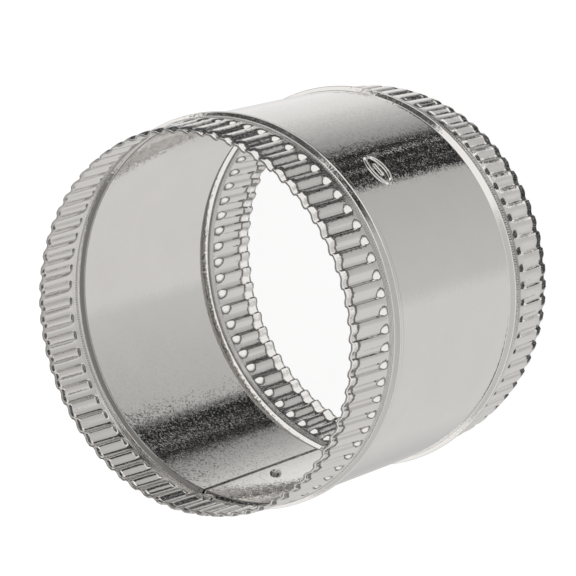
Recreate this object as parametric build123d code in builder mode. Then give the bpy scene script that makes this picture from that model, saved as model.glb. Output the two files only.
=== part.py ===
from build123d import *
import os
from math import cos, degrees, radians, sin, sqrt

# Round duct connector of galvanised sheet, nominal 6 in. One sheet is rolled into a tube and
# lapped, three clinch joints lock the lap, a bead is rolled outward near each end, and both
# ends are crimped from the rim to a short plain collar, so that each slips into a pipe.
# The axis is Z, the tube stands on its lower rim, and every size is in millimetres.

# Rolled sheet
tube_diameter = 152.4        # outside of the plain barrel
sheet_thickness = 0.5
barrel_length = 76.2         # plain tube between the beads

# Bead at each end of the barrel, and the plain collar beyond it
bead_width = 4.4
bead_height = 1.6
bead_side_slope = 0.8        # along the tube per millimetre outward
collar_length = 4.0

# Crimp: lands draw in evenly from the collar to the rim
crimp_length = 22.0
collar_draw = 0.05           # how far a land's corners stand in at the collar
rim_draw = 2.0               # how far they stand in at the rim

# Flutes pressed inward between the lands
flute_count = 70
scoop_length = 2.4           # steep end of a flute, at the collar
rim_flute_depth = 1.0
scoop_flute_depth = 1.3
rim_floor_width = 1.3
scoop_floor_width = 1.1
flute_side_slope = 0.7       # sideways per millimetre outward, on each side of a flute

# Lap seam: two layers over whole flutes, with both edges in the middle of a land
lap_pitches = 2
lap_direction = 270.0        # angle of the lap's middle
layer_line_width = 0.4       # line that the outer layer's edge leaves outside
layer_line_depth = 0.3

# Clinch joints along the middle of the lap: a cup outside, a button inside
cup_diameter = 3.0
cup_depth = 1.1
button_diameter = 4.4
button_height = 0.6
clinch_sides = 12            # cups and buttons have this many flat sides
end_clinch_inset = 1.6       # from the start of the collar

# Plain oval pressed outward in the barrel: a ring round a raised bar
oval_direction = 56.1
oval_below_bead = 22.0       # from the upper bead down to the oval's centre
oval_length = 15.0           # round the tube
oval_height = 9.6            # along the tube
oval_ring_width = 1.6
oval_bar_length = 6.4
oval_bar_height = 2.4
oval_relief = 0.5

# Worked out from the sizes above
tube_radius = tube_diameter / 2
bead_base = crimp_length + collar_length
bead_center = bead_base + bead_width / 2
mid_height = bead_base + bead_width + barrel_length / 2
tube_length = 2 * mid_height
middle = Plane.XY.offset(mid_height)
pitch_angle = 360 / flute_count
lap_angle = lap_pitches * pitch_angle
lap_start = lap_direction - lap_angle / 2
lap_end = lap_direction + lap_angle / 2
lap_middle = tube_radius - sheet_thickness
lap_inside = tube_radius - 2 * sheet_thickness
end_clinch = crimp_length + end_clinch_inset
clinch_heights = (end_clinch, mid_height, tube_length - end_clinch)
clear = 1.0                  # how far a cutter runs past what it cuts


def land_radius(height):
    """Distance from the axis to the corners of the lands at a height above the rim."""
    share = height / crimp_length
    return tube_radius - rim_draw + share * (rim_draw - collar_draw)


def polar_point(radius, angle, height):
    """Point at a radius, an angle in degrees and a height."""
    return radius * cos(radians(angle)), radius * sin(radians(angle)), height


def land_corners(height, depth):
    """Corners where flat lands would meet in the middle of each flute."""
    radius = land_radius(height) - depth
    return [
        polar_point(radius, lap_start + (flute + 0.5) * pitch_angle, height)
        for flute in range(flute_count)
    ]


def bead_outline(center, depth):
    """Four corners of a bead's half section, from low to high."""
    surface = tube_radius - depth
    base_half = bead_width / 2 - depth * (sqrt(1 + bead_side_slope ** 2) - bead_side_slope)
    crown_half = base_half - bead_side_slope * bead_height
    return [
        (surface, center - base_half),
        (surface + bead_height, center - crown_half),
        (surface + bead_height, center + crown_half),
        (surface, center + base_half),
    ]


def tube_form(depth):
    """The whole tube, filled to the sheet's surface at a depth below the outside."""
    surface = tube_radius - depth
    with BuildPart() as form:
        ConvexPolyhedron(land_corners(0, depth) + land_corners(crimp_length, depth))
        mirror(about=middle)
        with BuildSketch(Plane.XZ):
            with BuildLine():
                Polyline(
                    (0, crimp_length),
                    (surface, crimp_length),
                    *bead_outline(bead_center, depth),
                    *bead_outline(tube_length - bead_center, depth),
                    (surface, tube_length - crimp_length),
                    (0, tube_length - crimp_length),
                    close=True,
                )
            make_face()
        revolve(axis=Axis.Z)
    return form.part


def flute_corners(height, floor, floor_width, depth):
    """Corners of the space over a flute at one height, from its floor to past the tube."""
    floor_half = floor_width / 2 + depth * (sqrt(1 + flute_side_slope ** 2) - flute_side_slope)
    top = tube_radius + clear
    top_half = floor_half + flute_side_slope * (top - floor + depth)
    return [
        (floor - depth, -floor_half, height),
        (floor - depth, floor_half, height),
        (top, -top_half, height),
        (top, top_half, height),
    ]


def flute_spaces(depth):
    """Room that a flute leaves over the sheet's surface at a depth, at both ends of the tube."""
    foot_height = crimp_length - scoop_length
    rim_floor = land_radius(0) - rim_flute_depth
    foot_floor = land_radius(foot_height) - scoop_flute_depth
    past_rim = clear / foot_height
    past_foot = scoop_length / foot_height
    rim_section = flute_corners(
        -clear,
        rim_floor - past_rim * (foot_floor - rim_floor),
        rim_floor_width - past_rim * (scoop_floor_width - rim_floor_width),
        depth,
    )
    foot_section = flute_corners(foot_height, foot_floor, scoop_floor_width, depth)
    line_on = foot_floor + past_foot * (foot_floor - rim_floor)
    end_width = (
        scoop_floor_width
        + past_foot * (scoop_floor_width - rim_floor_width)
        + 2 * flute_side_slope * (tube_radius - line_on)
    )
    end_section = flute_corners(crimp_length, tube_radius, end_width, depth)
    with BuildPart() as spaces:
        ConvexPolyhedron(rim_section + foot_section + end_section)
        mirror(about=middle)
    return spaces.part


def crimped_form(depth, count):
    """The filled tube with flutes pressed in, counted from the start of the lap."""
    with BuildPart() as form:
        add(tube_form(depth))
        with PolarLocations(0, count, lap_start + pitch_angle / 2, count * pitch_angle):
            add(flute_spaces(depth), mode=Mode.SUBTRACT)
    return form.part


def sector(start, turn):
    """Slice through the whole length, from one direction through a turn of less than half."""
    reach = 2 * tube_radius
    with BuildPart() as piece:
        with BuildSketch(Plane.XY.offset(-clear)):
            with BuildLine():
                Polyline(
                    (0, 0),
                    (reach * cos(radians(start)), reach * sin(radians(start))),
                    (reach * cos(radians(start + turn)), reach * sin(radians(start + turn))),
                    close=True,
                )
            make_face()
        extrude(amount=tube_length + 2 * clear)
    return piece.part


def single_bore():
    """Room inside the single sheet, with the lap's slice left out."""
    with BuildPart() as room:
        add(crimped_form(sheet_thickness, flute_count))
        add(sector(lap_start, lap_angle), mode=Mode.SUBTRACT)
    return room.part


def lap_bore():
    """Room inside the lap, where the inner layer stands one sheet further in."""
    with BuildPart() as room:
        add(crimped_form(2 * sheet_thickness, lap_pitches))
        add(sector(lap_start, lap_angle), mode=Mode.INTERSECT)
    return room.part


def layer_line():
    """Fine groove up the outside, where the lap's outer layer ends on a land."""
    turn = degrees(layer_line_width / tube_radius)
    with BuildPart() as groove:
        add(sector(lap_end, turn))
        add(tube_form(layer_line_depth), mode=Mode.SUBTRACT)
    return groove.part


def facing_plane(direction, height, radius):
    """Plane that faces outward, with its x direction round the tube."""
    angle = radians(direction)
    outward = Vector(cos(angle), sin(angle), 0)
    return Plane(
        origin=outward * radius + Vector(0, 0, height),
        x_dir=Vector(-sin(angle), cos(angle), 0),
        z_dir=outward,
    )


def clinch_prism(height, diameter, low, high):
    """Prism on the middle of the lap, between two distances from the axis."""
    with BuildPart() as prism:
        with BuildSketch(facing_plane(lap_direction, height, low)):
            RegularPolygon(diameter / 2, clinch_sides)
        extrude(amount=high - low)
    return prism.part


def clinch_buttons():
    """Buttons that stand inward from the lap's inner layer."""
    with BuildPart() as buttons:
        for height in clinch_heights:
            add(clinch_prism(height, button_diameter, lap_inside - button_height, lap_middle))
    return buttons.part


def clinch_cups():
    """Room in the cups that the clinch punch leaves outside."""
    with BuildPart() as cups:
        for height in clinch_heights:
            add(clinch_prism(height, cup_diameter, tube_radius - cup_depth, tube_radius + clear))
    return cups.part


def pressed_oval():
    """Oval ring round a raised bar, rooted in the middle of the sheet."""
    height = tube_length - bead_base - bead_width - oval_below_bead
    with BuildPart() as press:
        with BuildSketch(facing_plane(oval_direction, height, tube_radius - 2 * clear)):
            Ellipse(oval_length / 2, oval_height / 2)
            Ellipse(
                oval_length / 2 - oval_ring_width,
                oval_height / 2 - oval_ring_width,
                mode=Mode.SUBTRACT,
            )
            Rectangle(oval_bar_length, oval_bar_height)
        extrude(amount=4 * clear)
        with Locations((0, 0, mid_height)):
            Cylinder(tube_radius + oval_relief, tube_length, mode=Mode.INTERSECT)
            Cylinder(tube_radius - sheet_thickness / 2, tube_length, mode=Mode.SUBTRACT)
    return press.part


with BuildPart() as connector_sheet:
    add(crimped_form(0, flute_count))
    add(single_bore(), mode=Mode.SUBTRACT)
    add(lap_bore(), mode=Mode.SUBTRACT)
    add(layer_line(), mode=Mode.SUBTRACT)
    add(clinch_buttons())
    add(clinch_cups(), mode=Mode.SUBTRACT)
    add(pressed_oval())

os.makedirs("parts", exist_ok=True)
connector_sheet.part.label = "connector_sheet"
export_step(connector_sheet.part, "parts/connector_sheet.step")
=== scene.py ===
"""Round duct connector of bright galvanised sheet, with crimped and beaded ends.

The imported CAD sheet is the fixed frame. This file gives it its looks: the same sheet with softly
pressed flutes and rolled beads, both layers of the lap, knurl dots, the clinch joints and the
pressed oval, in a white studio with the camera at the photograph's viewing angle.
"""

import logging
import math
from collections.abc import Sequence
from dataclasses import dataclass, field
from enum import Enum

import bmesh
import bpy
from mathutils import Matrix, Vector

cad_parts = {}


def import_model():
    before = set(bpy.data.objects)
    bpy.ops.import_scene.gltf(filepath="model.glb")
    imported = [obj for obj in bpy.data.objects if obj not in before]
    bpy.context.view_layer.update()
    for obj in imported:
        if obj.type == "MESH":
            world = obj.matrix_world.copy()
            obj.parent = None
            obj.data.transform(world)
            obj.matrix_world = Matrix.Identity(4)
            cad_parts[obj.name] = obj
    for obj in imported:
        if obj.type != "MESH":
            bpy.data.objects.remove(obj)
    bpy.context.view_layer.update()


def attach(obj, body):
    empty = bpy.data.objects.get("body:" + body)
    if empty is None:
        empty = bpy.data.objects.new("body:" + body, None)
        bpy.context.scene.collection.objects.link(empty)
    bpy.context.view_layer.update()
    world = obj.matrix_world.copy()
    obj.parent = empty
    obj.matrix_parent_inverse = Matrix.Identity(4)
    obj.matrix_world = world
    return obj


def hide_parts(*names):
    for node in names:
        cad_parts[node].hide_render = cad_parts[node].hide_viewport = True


log = logging.getLogger("duct_connector")
MM = 0.001
TINY = 1e-6
Stops = Sequence[tuple[float, float]]


class End(Enum):
    """The two ends of the connector, with the direction that each one faces."""

    LOWER = -1
    UPPER = 1


def smooth(share: float) -> float:
    """Soft step from 0 to 1 as share goes from 0 to 1."""
    share = min(1.0, max(0.0, share))
    return share * share * (3.0 - 2.0 * share)


def between(value: float, stops: Stops) -> float:
    """Value of a broken line at one place.

    Args:
        value: Where to read the line.
        stops: Pairs of place and value, in rising order of place.

    Returns:
        The line's value there, held level past its ends.
    """
    if value <= stops[0][0]:
        return stops[0][1]
    for (low, start), (high, end) in zip(stops, stops[1:]):
        if value <= high:
            return start + (end - start) * (value - low) / (high - low)
    return stops[-1][1]


@dataclass(frozen=True)
class SheetForm:
    """Shape of the rolled and crimped sheet, in millimetres and degrees."""

    radius: float = 76.2
    thickness: float = 0.5
    length: float = 137.0
    crimp_length: float = 22.0

    # Beads: the steps of a flank are shares of its run and of the bead's height. The lower bead's
    # rise is distance from its foot and height.
    bead_low: float = 25.3
    bead_height: float = 1.57
    bead_steps: Stops = (
        (0.0, 0.0), (0.05, 0.01), (0.12, 0.06), (0.17, 0.116), (0.81, 0.834), (0.86, 0.89),
        (0.96, 0.965), (1.06, 0.995), (1.14, 1.0),
    )
    upper_flanks: tuple[float, float] = (1.89, 1.28)
    upper_bead_width: float = 5.1
    lower_flank: float = 2.3
    lower_bead_width: float = 5.7
    lower_rise: Stops = (
        (0.0, 0.0), (0.3, 0.04), (0.5, 0.11), (2.3, 0.81), (2.45, 0.88), (2.55, 1.0), (2.65, 1.17),
        (2.8, 1.42), (3.0, 1.57),
    )

    # Lap: where it starts, and how many flutes it covers
    lap_start: float = 264.857
    lap_pitches: int = 2

    # Crimps: how far lands and collars stand in, and how deep the flutes are, by distance from
    # the rim. A scoop is the steep end of a flute, at the collar.
    flute_count: int = 70
    upper_lands: Stops = (
        (0.0, 1.95), (3.0, 1.15), (4.2, 1.0), (5.4, 0.93), (22.0, 0.22), (25.3, 0.0),
    )
    lower_lands: Stops = (
        (0.0, 2.3), (4.8, 1.0), (6.2, 0.87), (22.0, 0.46), (25.3, 0.0),
    )
    flute_depths: Stops = ((0.0, 0.95), (6.0, 1.15), (12.0, 1.25), (18.2, 1.2))
    upper_scoop: float = 3.8
    lower_scoop: float = 5.2

    # One flute, round the tube. Its steep side is softest in one direction at the upper end.
    floor_half: float = 0.35
    gentle_run: float = 2.9
    steep_run: float = 0.98
    soft_run: float = 1.5
    soft_direction: float = 205.0
    soft_margin: float = 30.0

    # Mesh: columns as shares of each side's run, and rows by distance from the rim. A row just
    # beyond each foot of a bead holds the slope.
    gentle_columns: tuple[float, ...] = (0.0, 0.25, 0.5, 0.75, 1.0)
    steep_columns: tuple[float, ...] = (1.0, 0.67, 0.33, 0.0)
    upper_rows: tuple[float, ...] = (
        0.0, 0.8, 2.4, 3.1, 4.2, 5.4, 11.5, 17.6, 18.4, 19.2, 20.0, 20.8, 21.5, 22.1,
    )
    lower_rows: tuple[float, ...] = (
        0.0, 0.8, 3.8, 4.7, 5.6, 6.6, 11.5, 16.4, 17.4, 18.5, 19.6, 20.7, 21.6, 22.2,
    )
    support: float = 0.15
    barrel_row: float = 1.0

    @property
    def pitch(self) -> float:
        """Angle from one flute to the next, in degrees."""
        return 360.0 / self.flute_count

    @property
    def pitch_width(self) -> float:
        """Distance round the tube from one flute to the next."""
        return math.radians(self.pitch) * self.radius

    @property
    def column_count(self) -> int:
        """How many columns of vertices each pitch has."""
        return 1 + len(self.gentle_columns) + len(self.steep_columns)

    def from_rim(self, height: float) -> float:
        """Distance from the nearer rim."""
        return min(height, self.length - height)

    def end_at(self, height: float) -> End:
        """The end that a height belongs to."""
        return End.UPPER if height > self.length / 2.0 else End.LOWER

    def bead_outline(self, end: End) -> list[tuple[float, float]]:
        """Outline of one end's bead. The lower bead rises in two slopes from its collar.

        Args:
            end: The end that the bead belongs to.

        Returns:
            Pairs of distance from the rim and rise, from the collar's foot to the barrel's.
        """
        if end is End.UPPER:
            rim_run, barrel_run = self.upper_flanks
            far = self.bead_low + self.upper_bead_width
            rising = [(step * rim_run, rise * self.bead_height) for step, rise in self.bead_steps]
        else:
            barrel_run = self.lower_flank
            far = self.bead_low + self.lower_bead_width
            rising = self.lower_rise
        outline = [(self.bead_low + along, rise) for along, rise in rising]
        for step, rise in reversed(self.bead_steps):
            outline.append((far - step * barrel_run, rise * self.bead_height))
        return outline

    def bead_share(self, height: float) -> float:
        """Rise of the bead at a height, as a share of the whole bead's."""
        outline = self.bead_outline(self.end_at(height))
        return between(self.from_rim(height), outline) / self.bead_height

    def flute_depth(self, rim_distance: float, end: End) -> float:
        """Depth of a flute's floor below the lands.

        Args:
            rim_distance: Distance from the rim.
            end: The end that the flute belongs to.

        Returns:
            The depth, which runs out to zero at the collar.
        """
        scoop = self.upper_scoop if end is End.UPPER else self.lower_scoop
        foot = self.crimp_length - scoop
        depth = between(rim_distance, self.flute_depths)
        return depth * (1.0 - smooth((rim_distance - foot) / scoop))

    def fall_run(self, direction: float, height: float) -> float:
        """Width of a flute's steep side, which the upper crimp has softer on one side of the tube.

        Args:
            direction: Angle of the flute, in degrees.
            height: Height above the lower rim.

        Returns:
            The width round the tube.
        """
        opposite = 0.5 + 0.5 * math.cos(math.radians(direction - self.soft_direction))
        upward = smooth((height - self.soft_margin) / (self.length - 2.0 * self.soft_margin))
        return self.steep_run + (self.soft_run - self.steep_run) * opposite * upward

    def wave(self, across: float, fall_run: float) -> float:
        """Share of a flute's depth that is left above its floor, at a distance from its middle.

        Args:
            across: Distance round the tube from the flute's middle, from zero to a whole pitch.
            fall_run: Width of the steep side.

        Returns:
            Zero on the floor and one on the land. One side rises gently, the other falls steeply.
        """
        rise = smooth((across - self.floor_half) / self.gentle_run)
        fall = smooth((self.pitch_width - self.floor_half - across) / fall_run)
        return min(rise, fall)

    def outside(self, across: float, height: float, fall_run: float) -> float:
        """Outside radius of the sheet.

        Args:
            across: Distance round the tube from the middle of the flute before it.
            height: Height above the lower rim.
            fall_run: Width of the flutes' steep side there.

        Returns:
            The distance from the axis to the outer face.
        """
        rim_distance = self.from_rim(height)
        end = self.end_at(height)
        lands = self.upper_lands if end is End.UPPER else self.lower_lands
        land = self.radius - between(rim_distance, lands)
        if rim_distance >= self.crimp_length:
            return land + between(rim_distance, self.bead_outline(end))
        return land - self.flute_depth(rim_distance, end) * (1.0 - self.wave(across, fall_run))

    def columns(self, fall_run: float) -> list[float]:
        """Where the columns of a pitch stand.

        Args:
            fall_run: Width of the flutes' steep side there.

        Returns:
            Shares of the pitch from a flute's middle, rising from zero.
        """
        gentle = [self.floor_half + self.gentle_run * share for share in self.gentle_columns]
        steep = [self.floor_half + fall_run * share for share in self.steep_columns]
        width = self.pitch_width
        return [0.0, *[place / width for place in gentle], *[1.0 - place / width for place in steep]]

    def end_rows(self, end: End) -> list[float]:
        """Where one end's rows stand, closer together where the sheet is shaped.

        Args:
            end: The end that the rows belong to.

        Returns:
            Distances from the rim, in rising order.
        """
        crimp = self.upper_rows if end is End.UPPER else self.lower_rows
        bead = [place for place, _ in self.bead_outline(end)]
        barrel = [bead[-1] + self.support, bead[-1] + self.barrel_row]
        return [*crimp, self.bead_low - self.support, *bead, *barrel]

    def heights(self) -> list[float]:
        """Heights of all the sheet's rows, from the lower rim up."""
        upper = [self.length - place for place in reversed(self.end_rows(End.UPPER))]
        return self.end_rows(End.LOWER) + upper


@dataclass(frozen=True)
class Galvanised:
    """Bright galvanised finish of the sheet: a soft mirror with fine speckle."""

    name: str = "galvanised_sheet"
    color: tuple[float, float, float] = (0.86, 0.838, 0.812)
    roughness: float = 0.05
    roughness_spread: float = 0.05
    clouding: float = 0.93
    speckle_scale: float = 1750.0
    even_tilt: float = 0.03
    stray_tilt: float = 0.035
    roll_height: float = 0.0002

    def build(self) -> bpy.types.Material:
        """Makes the material.

        Returns:
            A metal whose speckle and rolling lines come from Object coordinates.
        """
        material = bpy.data.materials.new(self.name)
        material.use_nodes = True
        nodes, links = material.node_tree.nodes, material.node_tree.links
        shader = nodes["Principled BSDF"]
        shader.inputs["Metallic"].default_value = 1.0
        place = nodes.new("ShaderNodeTexCoord")
        speckle = nodes.new("ShaderNodeGroup")
        speckle.node_tree = speckle_group()
        speckle.inputs["Scale"].default_value = self.speckle_scale
        speckle.inputs["Even tilt"].default_value = self.even_tilt
        speckle.inputs["Stray tilt"].default_value = self.stray_tilt
        marks = nodes.new("ShaderNodeGroup")
        marks.node_tree = marks_group()
        links.new(place.outputs["Object"], speckle.inputs["Place"])
        links.new(place.outputs["Object"], marks.inputs["Place"])

        tint = nodes.new("ShaderNodeMix")
        tint.data_type = "RGBA"
        tint.inputs["A"].default_value = (*[value * self.clouding for value in self.color], 1.0)
        tint.inputs["B"].default_value = (*self.color, 1.0)
        links.new(speckle.outputs["Cloud"], tint.inputs["Factor"])
        links.new(tint.outputs["Result"], shader.inputs["Base Color"])

        rough = nodes.new("ShaderNodeMapRange")
        rough.inputs["To Min"].default_value = self.roughness
        rough.inputs["To Max"].default_value = self.roughness + self.roughness_spread
        links.new(speckle.outputs["Grain"], rough.inputs["Value"])
        links.new(rough.outputs["Result"], shader.inputs["Roughness"])

        rolled = nodes.new("ShaderNodeBump")
        rolled.inputs["Strength"].default_value = 1.0
        rolled.inputs["Distance"].default_value = self.roll_height
        links.new(marks.outputs["Height"], rolled.inputs["Height"])
        links.new(speckle.outputs["Normal"], rolled.inputs["Normal"])
        links.new(rolled.outputs["Normal"], shader.inputs["Normal"])
        return material


def new_group(name: str, inputs: dict[str, str], outputs: dict[str, str]) -> bpy.types.NodeTree:
    """Starts a shader node group.

    Args:
        name: The group's name.
        inputs: Socket types by input name.
        outputs: Socket types by output name.

    Returns:
        The group, with its Group Input and Group Output nodes in place.
    """
    group = bpy.data.node_groups.new(name, "ShaderNodeTree")
    for socket, kind in inputs.items():
        group.interface.new_socket(socket, in_out="INPUT", socket_type=kind)
    for socket, kind in outputs.items():
        group.interface.new_socket(socket, in_out="OUTPUT", socket_type=kind)
    group.nodes.new("NodeGroupInput")
    group.nodes.new("NodeGroupOutput")
    return group


def calculate(
    group: bpy.types.NodeTree, operation: str, *values: float | bpy.types.NodeSocket
) -> bpy.types.NodeSocket:
    """Adds a Math node.

    Args:
        group: The node tree that gets the node.
        operation: The Math node's operation.
        values: Sockets or numbers for its inputs.

    Returns:
        The node's output socket.
    """
    node = group.nodes.new("ShaderNodeMath")
    node.operation = operation
    for socket, value in zip(node.inputs, values):
        if isinstance(value, bpy.types.NodeSocket):
            group.links.new(value, socket)
        else:
            socket.default_value = value
    return node.outputs[0]


def soft_range(
    group: bpy.types.NodeTree,
    value: bpy.types.NodeSocket,
    limits: tuple[float, float],
    results: tuple[float, float] = (0.0, 1.0),
) -> bpy.types.NodeSocket:
    """Adds a Map Range node that goes softly from one result to the other.

    Args:
        group: The node tree that gets the node.
        value: The socket that is mapped.
        limits: Values at which the step starts and ends.
        results: Results at and beyond those limits.

    Returns:
        The node's output socket.
    """
    node = group.nodes.new("ShaderNodeMapRange")
    node.interpolation_type = "SMOOTHSTEP"
    for name, number in zip(("From Min", "From Max", "To Min", "To Max"), (*limits, *results)):
        node.inputs[name].default_value = number
    group.links.new(value, node.inputs["Value"])
    return node.outputs["Result"]


def speckle_group() -> bpy.types.NodeTree:
    """Group for the fine speckle and the broad clouding of the zinc.

    Returns:
        A group with outputs Grain, high on a few tiny facets, Cloud, broad, and Normal, which leans
        a little from facet to facet and further on the same few.
    """
    name = "zinc_speckle"
    if name in bpy.data.node_groups:
        return bpy.data.node_groups[name]
    group = new_group(
        name,
        {
            "Place": "NodeSocketVector",
            "Scale": "NodeSocketFloat",
            "Even tilt": "NodeSocketFloat",
            "Stray tilt": "NodeSocketFloat",
        },
        {"Grain": "NodeSocketFloat", "Cloud": "NodeSocketFloat", "Normal": "NodeSocketVector"},
    )
    nodes, links = group.nodes, group.links
    source, result = nodes["Group Input"], nodes["Group Output"]
    facet = nodes.new("ShaderNodeTexVoronoi")
    links.new(source.outputs["Place"], facet.inputs["Vector"])
    links.new(source.outputs["Scale"], facet.inputs["Scale"])
    parts = nodes.new("ShaderNodeSeparateColor")
    links.new(facet.outputs["Color"], parts.inputs["Color"])
    stray = calculate(group, "POWER", parts.outputs["Blue"], 3.0)
    amount = calculate(group, "MULTIPLY", stray, source.outputs["Stray tilt"])
    amount = calculate(group, "ADD", amount, source.outputs["Even tilt"])
    centred = nodes.new("ShaderNodeVectorMath")
    centred.operation = "SUBTRACT"
    centred.inputs[1].default_value = (0.5, 0.5, 0.5)
    links.new(facet.outputs["Color"], centred.inputs[0])
    lean = nodes.new("ShaderNodeVectorMath")
    lean.operation = "SCALE"
    links.new(centred.outputs["Vector"], lean.inputs[0])
    links.new(amount, lean.inputs["Scale"])
    surface = nodes.new("ShaderNodeNewGeometry")
    leaning = nodes.new("ShaderNodeVectorMath")
    leaning.operation = "ADD"
    links.new(surface.outputs["Normal"], leaning.inputs[0])
    links.new(lean.outputs["Vector"], leaning.inputs[1])
    unit = nodes.new("ShaderNodeVectorMath")
    unit.operation = "NORMALIZE"
    links.new(leaning.outputs["Vector"], unit.inputs[0])
    cloud = nodes.new("ShaderNodeTexNoise")
    cloud.inputs["Scale"].default_value = 60.0
    cloud.inputs["Detail"].default_value = 4.0
    links.new(source.outputs["Place"], cloud.inputs["Vector"])
    links.new(stray, result.inputs["Grain"])
    links.new(cloud.outputs["Fac"], result.inputs["Cloud"])
    links.new(unit.outputs["Vector"], result.inputs["Normal"])
    return group


def marks_group() -> bpy.types.NodeTree:
    """Group for the fine lines that the rolls leave round each collar.

    Returns:
        A group with the output Height.
    """
    name = "roll_marks"
    if name in bpy.data.node_groups:
        return bpy.data.node_groups[name]
    group = new_group(name, {"Place": "NodeSocketVector"}, {"Height": "NodeSocketFloat"})
    source, result = group.nodes["Group Input"], group.nodes["Group Output"]
    split = group.nodes.new("ShaderNodeSeparateXYZ")
    group.links.new(source.outputs["Place"], split.inputs["Vector"])
    middle = SheetForm().length * MM / 2.0
    beyond = calculate(group, "ABSOLUTE", calculate(group, "SUBTRACT", split.outputs["Z"], middle))
    rim_distance = calculate(group, "SUBTRACT", middle, beyond)
    collar_place, collar_half = 0.0231, 0.0010
    line_rate, line_share = 9000.0, 0.06
    inset = calculate(group, "ABSOLUTE", calculate(group, "SUBTRACT", rim_distance, collar_place))
    on_collar = calculate(group, "LESS_THAN", inset, collar_half)
    lines = calculate(group, "SINE", calculate(group, "MULTIPLY", rim_distance, line_rate))
    ruled = calculate(group, "MULTIPLY", calculate(group, "MULTIPLY", lines, on_collar), line_share)
    group.links.new(ruled, result.inputs["Height"])
    return group


def profile_line(mesh: bmesh.types.BMesh, profile: Stops) -> list:
    """Draws a row of joined vertices in the XZ plane, ready to be spun.

    Args:
        mesh: The mesh that gets the row.
        profile: Pairs of radius and height, in millimetres.

    Returns:
        The row's vertices and edges.
    """
    verts = [mesh.verts.new((radius * MM, 0.0, height * MM)) for radius, height in profile]
    edges = [mesh.edges.new(pair) for pair in zip(verts, verts[1:])]
    return [*verts, *edges]


def spin_round(
    mesh: bmesh.types.BMesh, geometry: list, angle: float, steps: int, **settings: bool
) -> None:
    """Spins geometry about the Z axis.

    Args:
        mesh: The mesh that holds it.
        geometry: The vertices, edges and faces that are spun.
        angle: The whole turn, in radians.
        steps: How many steps the turn has.
        settings: Further settings of the spin operator.
    """
    bmesh.ops.spin(
        mesh,
        geom=geometry,
        cent=(0.0, 0.0, 0.0),
        axis=(0.0, 0.0, 1.0),
        angle=angle,
        steps=steps,
        **settings,
    )


def turn_faces(mesh: bmesh.types.BMesh, sample: bmesh.types.BMFace, direction: Vector) -> None:
    """Makes all faces point the same way, with one of them toward a direction.

    Args:
        mesh: The mesh.
        sample: The face that decides.
        direction: Where it has to point, roughly.
    """
    bmesh.ops.recalc_face_normals(mesh, faces=mesh.faces)
    if sample.normal.dot(direction) < 0.0:
        bmesh.ops.reverse_faces(mesh, faces=mesh.faces)


def add_wall(piece: bpy.types.Object, thickness: float, even: bool = False) -> None:
    """Gives a sheet its thickness, inward from its face.

    Args:
        piece: The sheet.
        thickness: Its thickness, in millimetres.
        even: Whether the wall keeps its thickness at folds.
    """
    wall = piece.modifiers.new("wall", "SOLIDIFY")
    wall.thickness = thickness * MM
    wall.offset = -1.0
    wall.use_even_offset = even


def finish_piece(
    mesh: bmesh.types.BMesh, name: str, material: bpy.types.Material
) -> bpy.types.Object:
    """Makes an object from a finished bmesh and puts it on the fixed frame.

    Args:
        mesh: The shape, in metres in the part's frame. It is freed here.
        name: The piece's name.
        material: Its finish.

    Returns:
        The object, at the origin, riding on the frame's one body.
    """
    data = bpy.data.meshes.new(name)
    mesh.to_mesh(data)
    mesh.free()
    for polygon in data.polygons:
        polygon.use_smooth = True
    data.materials.append(material)
    piece = bpy.data.objects.new(name, data)
    bpy.context.scene.collection.objects.link(piece)
    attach(piece, "root")
    log.info("%s: %d faces", name, len(data.polygons))
    return piece


@dataclass(frozen=True)
class LapLayer:
    """One layer of the lap: a strip from a free edge, which sinks into the wall beyond the lap.

    Its side is 1 if it goes toward larger angles from its free edge, and -1 if it goes the other
    way. Its inset is how far it lies inside the sheet's face on the lap, and its shift is what
    that gains once it has sunk in.
    """

    name: str
    free_edge: float
    side: int
    inset: float
    shift: float
    thickness: float


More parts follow.
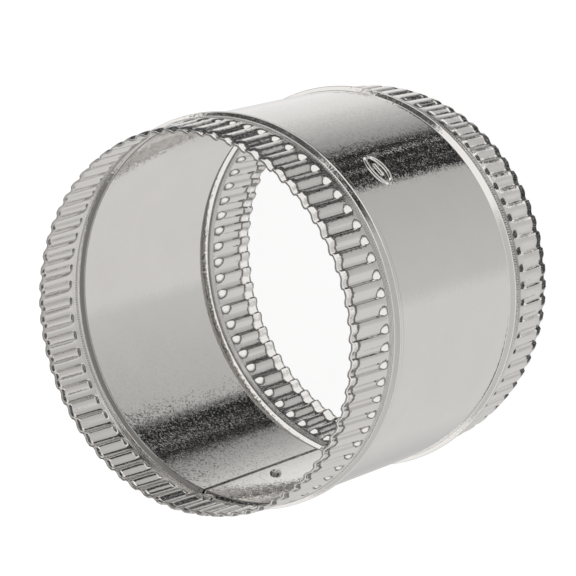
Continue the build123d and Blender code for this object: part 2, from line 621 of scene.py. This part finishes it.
@dataclass
class CrimpedSheet:
    """The rolled sheet itself, and the two layers of its lap."""

    form: SheetForm = field(default_factory=SheetForm)
    merge_pitches: int = 6
    on_bead: float = 0.9

    def layers(self) -> list[LapLayer]:
        """The lap's inner and outer layer."""
        start = self.form.lap_start
        end = start + self.form.lap_pitches * self.form.pitch
        return [
            LapLayer("lap_inner_layer", start, 1, inset=0.25, shift=-0.22, thickness=0.45),
            LapLayer("lap_outer_layer", end, -1, inset=-0.14, shift=0.17, thickness=0.3),
        ]

    def column(self, mesh: bmesh.types.BMesh) -> list:
        """Straight row of joined vertices up the tube, ready to be spun."""
        return profile_line(mesh, [(self.form.radius, height) for height in self.form.heights()])

    def layer_offset(self, layer: LapLayer | None, direction: float, height: float) -> float:
        """How far a face lies inside the sheet's outer face.

        Args:
            layer: The lap's layer, or None for the tube itself.
            direction: Angle in degrees.
            height: Height above the lower rim.

        Returns:
            The distance in millimetres, negative where the face stands proud.
        """
        if layer is None:
            return 0.0
        form = self.form
        beyond = layer.side * (direction - layer.free_edge) - form.lap_pitches * form.pitch
        merged = smooth(beyond / (self.merge_pitches * form.pitch))
        inset = layer.inset
        if inset < 0.0:
            inset *= 1.0 - self.on_bead * form.bead_share(height)
        return inset + layer.shift * merged

    def shape(self, mesh: bmesh.types.BMesh, layer: LapLayer | None = None) -> None:
        """Moves each spun vertex to the sheet's face.

        Args:
            mesh: A spun sheet of even columns, with the middle of a flute at angle zero.
            layer: The lap's layer that the mesh is, or None for the tube itself.
        """
        form = self.form
        step = form.pitch / form.column_count
        for vert in mesh.verts:
            angle = math.degrees(math.atan2(vert.co.y, vert.co.x)) % 360.0
            height = vert.co.z / MM
            flute, column = divmod(round(angle / step), form.column_count)
            fall_run = form.fall_run(flute * form.pitch, height)
            share = form.columns(fall_run)[column]
            direction = (flute + share) * form.pitch
            turned = math.radians(direction)
            inset = self.layer_offset(layer, direction, height)
            radius = (form.outside(share * form.pitch_width, height, fall_run) - inset) * MM
            vert.co = (radius * math.cos(turned), radius * math.sin(turned), vert.co.z)

    def tube(self, material: bpy.types.Material) -> None:
        """Makes the whole tube, with its wall's thickness inside.

        Args:
            material: Its finish.
        """
        form = self.form
        mesh = bmesh.new()
        steps = form.flute_count * form.column_count
        spin_round(mesh, self.column(mesh), 2.0 * math.pi, steps, use_merge=True)
        self.shape(mesh)
        bmesh.ops.recalc_face_normals(mesh, faces=mesh.faces)
        piece = finish_piece(mesh, "crimped_tube", material)
        add_wall(piece, form.thickness, even=True)
        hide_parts("connector_sheet")

    def lap_layer(self, layer: LapLayer, material: bpy.types.Material) -> None:
        """Makes one layer of the lap against the tube's wall.

        Args:
            layer: The layer.
            material: Its finish.
        """
        form = self.form
        pitches = form.lap_pitches + self.merge_pitches
        turn = pitches * form.pitch
        start = layer.free_edge if layer.side > 0 else layer.free_edge - turn
        mesh = bmesh.new()
        spin_round(mesh, self.column(mesh), math.radians(turn), pitches * form.column_count)
        bmesh.ops.rotate(
            mesh,
            verts=mesh.verts,
            cent=(0.0, 0.0, 0.0),
            matrix=Matrix.Rotation(math.radians(start), 3, "Z"),
        )
        self.shape(mesh, layer)
        sample = min(mesh.faces, key=lambda face: face.calc_center_median().z)
        turn_faces(mesh, sample, sample.calc_center_median())
        add_wall(finish_piece(mesh, layer.name, material), layer.thickness)

    def build(self, material: bpy.types.Material) -> None:
        """Makes the tube and both layers of the lap.

        Args:
            material: Their finish.
        """
        self.tube(material)
        for layer in self.layers():
            self.lap_layer(layer, material)


@dataclass
class KnurlRows:
    """Rows of tiny dots that the beading roll presses in beside each bead, inside and outside."""

    form: SheetForm = field(default_factory=SheetForm)
    from_rim: float = 24.75
    groups: int = 20
    dots_per_group: int = 24
    dot_radius: float = 0.42

    def repeat(self, mesh: bmesh.types.BMesh, count: int, step: float) -> None:
        """Repeats all that the mesh holds round the tube.

        Args:
            mesh: The mesh.
            count: How many there are in the end.
            step: Angle from one to the next, in radians.
        """
        everything = [*mesh.verts, *mesh.edges, *mesh.faces]
        spin_round(mesh, everything, step * (count - 1), count - 1, use_duplicate=True)

    def build(self, material: bpy.types.Material) -> None:
        """Makes the rows of both ends as one piece.

        Args:
            material: Their finish.
        """
        form = self.form
        mesh = bmesh.new()
        for height in (self.from_rim, form.length - self.from_rim):
            outside = form.outside(0.0, height, form.steep_run)
            for radius in (outside, outside - form.thickness):
                bmesh.ops.create_icosphere(
                    mesh,
                    subdivisions=1,
                    radius=self.dot_radius * MM,
                    matrix=Matrix.Translation((radius * MM, 0.0, height * MM)),
                )
        group_turn = 2.0 * math.pi / self.groups
        self.repeat(mesh, self.dots_per_group, group_turn / self.dots_per_group)
        self.repeat(mesh, self.groups, group_turn)
        finish_piece(mesh, "knurl_dots", material)


@dataclass
class Clinches:
    """Press joints up the middle of the lap: a dimpled button inside, a punch mark outside.

    Both profiles are pairs of radius and rise, from the foot to the middle.
    """

    form: SheetForm = field(default_factory=SheetForm)
    direction: float = 270.0
    heights: tuple[float, ...] = (23.6, 68.5, 113.4)
    sides: int = 40
    button: Stops = (
        (2.35, -0.2), (2.2, 0.1), (2.12, 0.63), (1.98, 0.75), (1.5, 0.75), (1.1, 0.47),
        (0.66, 0.39), (0.0, 0.37),
    )
    mark: Stops = (
        (2.0, -0.25), (1.95, 0.1), (1.85, 0.28), (1.7, 0.34), (1.5, 0.3), (1.25, 0.2),
        (0.7, 0.16), (0.0, 0.15),
    )

    def turned(self, profile: Stops, foot: Vector, facing: Vector) -> bmesh.types.BMesh:
        """Turns one small round form and stands it on the sheet.

        Args:
            profile: The form's half outline.
            foot: Where it stands, in metres.
            facing: The direction that it faces.

        Returns:
            The mesh.
        """
        mesh = bmesh.new()
        line = profile_line(mesh, profile)
        spin_round(mesh, line, 2.0 * math.pi, self.sides, use_merge=True)
        bmesh.ops.remove_doubles(mesh, verts=mesh.verts, dist=TINY)
        turn = facing.to_track_quat("Z", "Y").to_matrix().to_4x4()
        bmesh.ops.transform(mesh, matrix=Matrix.Translation(foot) @ turn, verts=mesh.verts)
        top = max(mesh.faces, key=lambda face: face.calc_center_median().dot(facing))
        turn_faces(mesh, top, facing)
        return mesh

    def build(self, material: bpy.types.Material) -> None:
        """Makes a button and a mark at each clinch.

        Args:
            material: Their finish.
        """
        angle = math.radians(self.direction)
        outward = Vector((math.cos(angle), math.sin(angle), 0.0))
        inside = self.form.radius - 2.0 * self.form.thickness
        for number, height in enumerate(self.heights, start=1):
            up = Vector((0.0, 0.0, height * MM))
            outside = self.form.outside(0.0, height, self.form.steep_run)
            button = self.turned(self.button, outward * inside * MM + up, -outward)
            finish_piece(button, f"clinch_button_{number}", material)
            mark = self.turned(self.mark, outward * outside * MM + up, outward)
            finish_piece(mark, f"clinch_mark_{number}", material)


@dataclass
class PressedOval:
    """Plain oval ring round a raised bar, pressed outward in the barrel."""

    form: SheetForm = field(default_factory=SheetForm)
    direction: float = 56.1
    height: float = 84.6
    ring: tuple[float, float] = (6.8, 4.3)
    ring_half: float = 0.9
    bar: tuple[float, float] = (3.2, 1.2)
    relief: float = 0.75
    margin: float = 1.4
    sunk: float = 0.04
    grid: tuple[int, int] = (90, 60)

    def rise(self, across: float, up: float) -> float:
        """How far the pressed form stands out at a place on it.

        Args:
            across: Distance round the tube from its centre.
            up: Distance along the tube from its centre.

        Returns:
            The rise above the barrel, in millimetres.
        """
        long, short = self.ring
        bar_half, bar_round = self.bar
        size = math.hypot(across / long, up / short)
        slope = math.hypot(across / long ** 2, up / short ** 2) / max(size, TINY)
        from_ring = abs(size - 1.0) / max(slope, TINY)
        from_bar = math.hypot(max(abs(across) - bar_half + bar_round, 0.0), up)
        ridge = max(1.0 - (from_ring / self.ring_half) ** 2, 0.0)
        mound = max(1.0 - (from_bar / bar_round) ** 2, 0.0)
        return self.relief * (smooth(ridge) + smooth(mound))

    def build(self, material: bpy.types.Material) -> None:
        """Raises the form from a fine grid that lies just under the barrel's face.

        Args:
            material: Its finish.
        """
        mesh = bmesh.new()
        columns, rows = self.grid
        bmesh.ops.create_grid(mesh, x_segments=columns, y_segments=rows, size=0.5)
        wide, high = [2.0 * (half + self.margin) for half in self.ring]
        for vert in mesh.verts:
            across, up = vert.co.x * wide, vert.co.y * high
            radius = (self.form.radius - self.sunk + self.rise(across, up)) * MM
            angle = math.radians(self.direction) + across / self.form.radius
            vert.co = (radius * math.cos(angle), radius * math.sin(angle), (self.height + up) * MM)
        first = next(iter(mesh.faces))
        turn_faces(mesh, first, first.calc_center_median() * Vector((1.0, 1.0, 0.0)))
        finish_piece(mesh, "pressed_oval", material)


@dataclass
class Studio:
    """White floor, plain surroundings and the camera at the photograph's viewing angle.

    Each ring of the room begins and is full at two elevations, from straight down upward, and
    has pairs of direction and brightness. The metal shows them as its light and dark bands.
    """

    camera_place: tuple[float, float, float] = (690.266, 361.951, 1093.0)
    camera_right: tuple[float, float, float] = (0.806234, 0.103381, -0.582494)
    camera_up: tuple[float, float, float] = (-0.245078, 0.954517, -0.169807)
    lens: float = 203.718
    floor_half: float = 4.0
    floor_color: float = 0.16
    floor_glow: float = 0.9
    rings: tuple[tuple[float, float, Stops], ...] = (
        (-90.0, -90.0, ((-180.0, 0.02), (180.0, 0.02))),
        (-72.0, -67.0, (
            (-180.0, 0.45), (-60.0, 0.65), (50.0, 0.6), (65.0, 1.0), (100.0, 1.0),
            (120.0, 0.02), (160.0, 0.02), (170.0, 0.45), (180.0, 0.45),
        )),
        (-63.0, -58.0, (
            (-180.0, 0.9), (-150.0, 0.6), (-120.0, 0.55), (-90.0, 0.7), (0.0, 0.7), (10.0, 0.6),
            (75.0, 0.5), (80.0, 0.015), (105.0, 0.015), (110.0, 0.3), (150.0, 0.8), (180.0, 0.9),
        )),
        (-50.0, -47.0, (
            (-180.0, 0.3), (-90.0, 0.7), (0.0, 0.7), (10.0, 0.6), (65.0, 0.45), (70.0, 0.02),
            (160.0, 0.02), (180.0, 0.3),
        )),
        (-43.5, -42.0, (
            (-180.0, 0.2), (-110.0, 0.4), (-60.0, 0.2), (60.0, 0.15), (75.0, 0.03),
            (150.0, 0.03), (180.0, 0.2),
        )),
        (-33.5, -31.0, (
            (-180.0, 0.1), (-120.0, 0.25), (-95.0, 0.65), (45.0, 0.7), (55.0, 1.0),
            (125.0, 1.0), (135.0, 0.1), (180.0, 0.1),
        )),
        (-27.0, -23.0, ((-180.0, 1.0), (180.0, 1.0))),
        (-3.0, 2.0, (
            (-180.0, 1.0), (-120.0, 0.6), (30.0, 0.6), (45.0, 1.0), (85.0, 1.0), (90.0, 0.1),
            (150.0, 0.03), (160.0, 1.0), (180.0, 1.0),
        )),
        (22.0, 26.0, (
            (-180.0, 0.3), (-150.0, 0.1), (-95.0, 0.6), (45.0, 0.5), (60.0, 0.02),
            (150.0, 0.02), (180.0, 0.3),
        )),
        (35.0, 38.0, ((-180.0, 0.2), (-110.0, 0.4), (-75.0, 0.2), (180.0, 0.2))),
    )
    speck_scale: float = 50.0
    speck_light: float = 0.5
    speck_limits: tuple[float, float] = (0.6, 0.7)
    dark_limits: tuple[float, float] = (0.02, 0.14)
    tint_dark: float = -0.02
    tint_bright: float = 0.01
    tint_full: float = 0.5

    def camera(self) -> None:
        """Places the camera as the fit of rims, beads and sides gives it."""
        data = bpy.data.cameras.new("camera")
        data.lens = self.lens
        data.sensor_width = 36.0
        data.clip_start, data.clip_end = 0.01, 50.0
        right, up = Vector(self.camera_right).normalized(), Vector(self.camera_up).normalized()
        back = right.cross(up).normalized()
        place = Vector(self.camera_place) * MM
        camera = bpy.data.objects.new("camera", data)
        camera.matrix_world = Matrix((
            (right.x, up.x, back.x, place.x),
            (right.y, up.y, back.y, place.y),
            (right.z, up.z, back.z, place.z),
            (0.0, 0.0, 0.0, 1.0),
        ))
        bpy.context.scene.collection.objects.link(camera)
        bpy.context.scene.camera = camera

    def floor(self) -> None:
        """White floor that keeps the object's shadow and lets reflections see the surroundings."""
        mesh = bmesh.new()
        bmesh.ops.create_grid(mesh, x_segments=1, y_segments=1, size=self.floor_half)
        data = bpy.data.meshes.new("floor")
        mesh.to_mesh(data)
        mesh.free()
        floor = bpy.data.objects.new("floor", data)
        bpy.context.scene.collection.objects.link(floor)
        material = bpy.data.materials.new("white_floor")
        material.use_nodes = True
        nodes, links = material.node_tree.nodes, material.node_tree.links
        nodes.remove(nodes["Principled BSDF"])
        paper = nodes.new("ShaderNodeBsdfDiffuse")
        paper.inputs["Color"].default_value = (*[self.floor_color] * 3, 1.0)
        glow = nodes.new("ShaderNodeEmission")
        glow.inputs["Strength"].default_value = self.floor_glow
        both = nodes.new("ShaderNodeAddShader")
        links.new(paper.outputs[0], both.inputs[0])
        links.new(glow.outputs[0], both.inputs[1])
        clear = nodes.new("ShaderNodeBsdfTransparent")
        path = nodes.new("ShaderNodeLightPath")
        choice = nodes.new("ShaderNodeMixShader")
        links.new(path.outputs["Is Glossy Ray"], choice.inputs["Fac"])
        links.new(both.outputs[0], choice.inputs[1])
        links.new(clear.outputs[0], choice.inputs[2])
        links.new(choice.outputs[0], nodes["Material Output"].inputs["Surface"])
        data.materials.append(material)

    def surroundings(self) -> None:
        """World: white to the camera, and to the metal a white room with one dark side."""
        world = bpy.data.worlds.new("room")
        bpy.context.scene.world = world
        world.use_nodes = True
        tree = world.node_tree
        nodes, links = tree.nodes, tree.links
        back = nodes["Background"]
        place = nodes.new("ShaderNodeTexCoord")
        split = nodes.new("ShaderNodeSeparateXYZ")
        links.new(place.outputs["Generated"], split.inputs["Vector"])
        angle = calculate(tree, "ARCTAN2", split.outputs["Y"], split.outputs["X"])
        share = calculate(tree, "ADD", calculate(tree, "DIVIDE", angle, 2.0 * math.pi), 0.5)
        upward = calculate(tree, "ARCSINE", split.outputs["Z"])
        color = self.ring_ramp(tree, share, self.rings[0][2])
        for low, high, stops in self.rings[1:]:
            blend = nodes.new("ShaderNodeMix")
            blend.data_type = "RGBA"
            limits = (math.radians(low), math.radians(high))
            links.new(soft_range(tree, upward, limits), blend.inputs["Factor"])
            links.new(color, blend.inputs["A"])
            links.new(self.ring_ramp(tree, share, stops), blend.inputs["B"])
            color = blend.outputs["Result"]
        color = self.specks(tree, place.outputs["Generated"], color)
        path = nodes.new("ShaderNodeLightPath")
        choice = nodes.new("ShaderNodeMix")
        choice.data_type = "RGBA"
        choice.inputs["A"].default_value = (1.0, 1.0, 1.0, 1.0)
        links.new(path.outputs["Is Glossy Ray"], choice.inputs["Factor"])
        links.new(color, choice.inputs["B"])
        links.new(choice.outputs["Result"], back.inputs["Color"])

    def specks(
        self, tree: bpy.types.NodeTree, place: bpy.types.NodeSocket, color: bpy.types.NodeSocket
    ) -> bpy.types.NodeSocket:
        """Small light spots on the room's dark side, which the zinc's facets pick up as grain.

        Args:
            tree: The world's node tree.
            place: Direction from the part.
            color: The room's colour without the spots.

        Returns:
            The colour with the spots.
        """
        noise = tree.nodes.new("ShaderNodeTexNoise")
        noise.inputs["Scale"].default_value = self.speck_scale
        noise.inputs["Detail"].default_value = 0.0
        tree.links.new(place, noise.inputs["Vector"])
        spots = soft_range(tree, noise.outputs["Fac"], self.speck_limits)
        parts = tree.nodes.new("ShaderNodeSeparateColor")
        tree.links.new(color, parts.inputs["Color"])
        dark = soft_range(tree, parts.outputs["Red"], self.dark_limits, (self.speck_light, 0.0))
        light = calculate(tree, "MULTIPLY", spots, dark)
        total = tree.nodes.new("ShaderNodeVectorMath")
        total.operation = "ADD"
        tree.links.new(color, total.inputs[0])
        tree.links.new(light, total.inputs[1])
        return total.outputs["Vector"]

    def ring_ramp(
        self, tree: bpy.types.NodeTree, share: bpy.types.NodeSocket, stops: Stops
    ) -> bpy.types.NodeSocket:
        """Brightness of one ring of the room by direction round the part.

        Args:
            tree: The world's node tree.
            share: Direction as a share of a whole turn.
            stops: Pairs of direction, from -180 to 180 degrees, and brightness.

        Returns:
            The ramp's colour.
        """
        node = tree.nodes.new("ShaderNodeValToRGB")
        ramp = node.color_ramp
        for degrees, value in stops:
            place = (degrees + 180.0) / 360.0
            if degrees == stops[0][0]:
                stop = ramp.elements[0]
            elif degrees == stops[-1][0]:
                stop = ramp.elements[len(ramp.elements) - 1]
            else:
                stop = ramp.elements.new(place)
            stop.position = place
            gain = (self.tint_bright - self.tint_dark) * smooth(value / self.tint_full)
            tint = self.tint_dark + gain
            stop.color = (value, value * (1.0 - 0.5 * tint), value * (1.0 - tint), 1.0)
        tree.links.new(share, node.inputs["Fac"])
        return node.outputs["Color"]

    def build(self) -> None:
        """Sets up the whole studio."""
        bpy.context.scene.view_settings.view_transform = "Standard"
        self.floor()
        self.surroundings()
        self.camera()


def main() -> None:
    """Builds the connector and its studio."""
    logging.basicConfig(level=logging.INFO)
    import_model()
    metal = Galvanised().build()
    CrimpedSheet().build(metal)
    KnurlRows().build(metal)
    Clinches().build(metal)
    PressedOval().build(metal)
    Studio().build()


if __name__ == "__main__":
    main()
